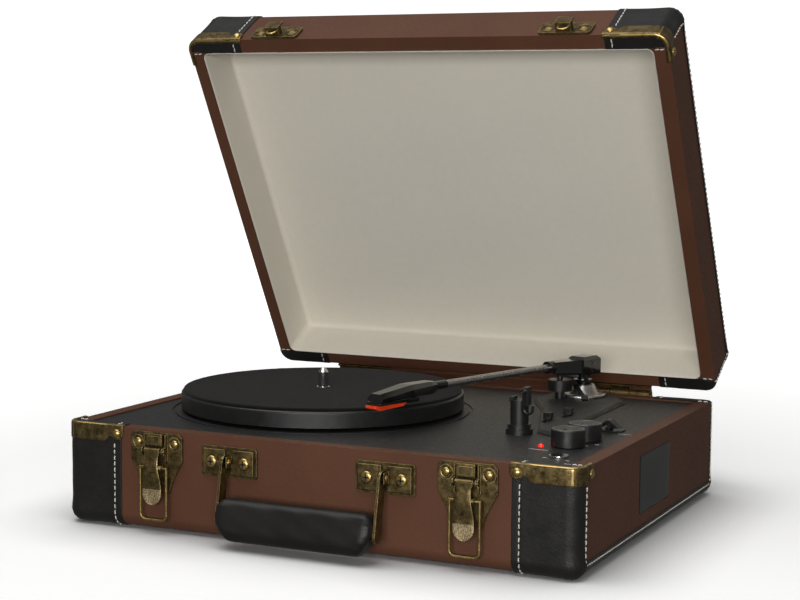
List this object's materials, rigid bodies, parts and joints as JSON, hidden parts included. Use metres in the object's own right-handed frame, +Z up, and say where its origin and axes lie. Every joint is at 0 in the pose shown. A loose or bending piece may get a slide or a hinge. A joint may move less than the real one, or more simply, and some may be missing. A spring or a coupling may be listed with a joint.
{
  "type": "suitcase record player",
  "caption": "Suitcase record player: leatherette case with hinged lid, draw latches and carrying handle, belt-driven platter, lifting tonearm and deck controls.",
  "frame": {"origin": "on the surface it stands on, under the middle of the whole object with the lid open and the handle hanging", "axes": "+X to the right seen from the front, +Y to the back, +Z up"},
  "size_m": [0.3536, 0.3456, 0.333],
  "materials": {
    "brown_leatherette": "fine-grained brown leatherette over board",
    "black_leather": "smooth black leather",
    "antique_brass": "aged brass with bright edges",
    "bright_brass": "polished brass screws",
    "cream_lining": "cream woven lining",
    "board_black": "matt black moulded board",
    "satin_black": "satin black plastic",
    "gloss_black": "gloss black plastic",
    "felt_black": "black felt",
    "grille_black": "black loudspeaker cloth",
    "chrome": "polished chrome",
    "steel": "turned steel",
    "satin_aluminium": "satin silver",
    "red_plastic": "orange-red moulded plastic",
    "lamp_red": "red lamp lens",
    "rubber_black": "black rubber",
    "board_green": "circuit board with components",
    "bearing_brass": "turned bronze bush"
  },
  "bodies": {
    "base": {"base_case": "brown_leatherette", "base_bottom_panel": "board_black", "base_corner_leather": "black_leather", "base_side_bands": "black_leather", "base_corner_guards": "antique_brass", "rubber_feet": "rubber_black", "hinge_base_leaves": "antique_brass", "hinge_base_screws": "bright_brass", "hinge_pins": "antique_brass", "latch_plates": "antique_brass", "handle_brackets": "antique_brass", "handle_screws": "bright_brass", "motor_board": "board_black", "tonearm_board": "board_black", "spindle_bearing": "bearing_brass", "drive_motor": "steel", "drive_belt": "rubber_black", "tonearm_base": "satin_aluminium", "cue_lift_housing": "satin_black", "arm_rest_post": "satin_black", "amplifier_board": "board_green", "power_lamp": "lamp_red", "headphone_jack": "chrome", "rocker_bracket": "satin_black", "speakers": "satin_black", "speaker_grilles": "grille_black", "rear_jack_plate": "satin_black", "rear_sockets": "steel"},
    "lid": {"lid_case": "brown_leatherette", "lid_lining": "cream_lining", "lid_corner_leather": "black_leather", "lid_side_bands": "black_leather", "lid_corner_guards": "antique_brass", "lid_catches": "antique_brass", "hinge_lid_leaves": "antique_brass", "hinge_lid_screws": "bright_brass"},
    "latch_lever_left": {"latch_lever_left": "antique_brass"},
    "latch_loop_left": {"latch_loop_left": "antique_brass"},
    "latch_lever_right": {"latch_lever_right": "antique_brass"},
    "latch_loop_right": {"latch_loop_right": "antique_brass"},
    "handle": {"handle_frame": "antique_brass", "handle_grip": "black_leather"},
    "platter": {"platter": "satin_black", "slip_mat": "felt_black", "spindle": "chrome"},
    "motor_pulley": {"motor_pulley": "bearing_brass"},
    "tonearm_yoke": {"tonearm_yoke": "gloss_black"},
    "tonearm": {"tonearm_block": "gloss_black", "tonearm_tube": "chrome", "headshell": "satin_black", "cartridge": "gloss_black", "stylus": "red_plastic"},
    "cue_lever": {"cue_lever": "satin_black"},
    "cue_lift_platform": {"cue_lift_platform": "satin_black"},
    "arm_rest_clip": {"arm_rest_clip": "gloss_black"},
    "volume_knob": {"volume_knob": "satin_black"},
    "tone_knob": {"tone_knob": "satin_black"},
    "speed_switch": {"speed_switch": "satin_black"},
    "auto_stop_switch": {"auto_stop_switch": "satin_black"},
    "rocker_paddle": {"rocker_paddle": "satin_black"}
  },
  "joints": [
    {"name": "lid_hinge", "type": "hinge", "parent": "base", "child": "lid", "pos_m": [0, 0.14, 0.0643], "axis": [-1, 0, 0], "range_deg": [-59.9, 0]},
    {"name": "latch_lever_left_pivot", "type": "hinge", "parent": "base", "child": "latch_lever_left", "pos_m": [-0.106, -0.1532, 0.053], "axis": [-1, 0, 0], "range_deg": [0, 95]},
    {"name": "latch_loop_left_pivot", "type": "hinge", "parent": "latch_lever_left", "child": "latch_loop_left", "pos_m": [-0.106, -0.1531, 0.0425], "axis": [1, 0, 0], "range_deg": [-180, 0]},
    {"name": "latch_lever_right_pivot", "type": "hinge", "parent": "base", "child": "latch_lever_right", "pos_m": [0.106, -0.1532, 0.053], "axis": [-1, 0, 0], "range_deg": [0, 95]},
    {"name": "latch_loop_right_pivot", "type": "hinge", "parent": "latch_lever_right", "child": "latch_loop_right", "pos_m": [0.106, -0.1531, 0.0425], "axis": [1, 0, 0], "range_deg": [-180, 0]},
    {"name": "handle_pivot", "type": "hinge", "parent": "base", "child": "handle", "pos_m": [0, -0.154, 0.051], "axis": [-1, 0, 0], "range_deg": [0, 100]},
    {"name": "platter_spin", "type": "hinge", "parent": "base", "child": "platter", "pos_m": [-0.057, -0.0172, 0.07], "axis": [0, 0, 1], "continuous": true},
    {"name": "motor_spin", "type": "hinge", "parent": "base", "child": "motor_pulley", "pos_m": [-0.057, 0.0628, 0.066], "axis": [0, 0, 1], "continuous": true},
    {"name": "tonearm_swing", "type": "hinge", "parent": "base", "child": "tonearm_yoke", "pos_m": [0.087, 0.1043, 0.07], "axis": [0, 0, -1], "range_deg": [-21.2, 18.5]},
    {"name": "tonearm_lift", "type": "hinge", "parent": "tonearm_yoke", "child": "tonearm", "pos_m": [0.087, 0.1043, 0.091], "axis": [-0.956, 0.2932, 0], "range_deg": [-0.8, 8]},
    {"name": "cue_lever_pivot", "type": "hinge", "parent": "base", "child": "cue_lever", "pos_m": [0.08343, 0.0903, 0.0765], "axis": [-0.866, -0.5, 0], "range_deg": [-4, 40]},
    {"name": "cue_lift_slide", "type": "slide", "parent": "base", "child": "cue_lift_platform", "axis": [0, 0, 1], "range_m": [-0.00031, 0.00307], "stiffness_N_per_m": 0.05, "springref_m": 0.062},
    {"name": "arm_rest_clip_pivot", "type": "hinge", "parent": "base", "child": "arm_rest_clip", "pos_m": [0.1031, -0.0472, 0.0925], "axis": [0, -1, 0], "range_deg": [-90, 0]},
    {"name": "volume_turn", "type": "hinge", "parent": "base", "child": "volume_knob", "pos_m": [0.1407, -0.0755, 0.066], "axis": [0, 0, -1], "range_deg": [-150, 150]},
    {"name": "tone_turn", "type": "hinge", "parent": "base", "child": "tone_knob", "pos_m": [0.143, -0.0514, 0.066], "axis": [0, 0, -1], "range_deg": [-150, 150]},
    {"name": "speed_switch_slide", "type": "slide", "parent": "base", "child": "speed_switch", "axis": [0, 1, 0], "range_m": [-0.006, 0.006]},
    {"name": "auto_stop_switch_slide", "type": "slide", "parent": "base", "child": "auto_stop_switch", "axis": [0, 1, 0], "range_m": [-0.006, 0.006]},
    {"name": "rocker_tilt", "type": "hinge", "parent": "base", "child": "rocker_paddle", "pos_m": [0.146, -0.0122, 0.0669], "axis": [0, 1, 0], "range_deg": [-8, 8]}
  ],
  "couplings": [
    {"joint": "motor_spin", "follows": "platter_spin", "ratio": 15.5},
    {"joint": "tonearm_lift", "follows": "cue_lever_pivot", "ratio": 0.2},
    {"joint": "cue_lift_slide", "follows": "cue_lever_pivot", "m_per_rad": 0.00439}
  ]
}
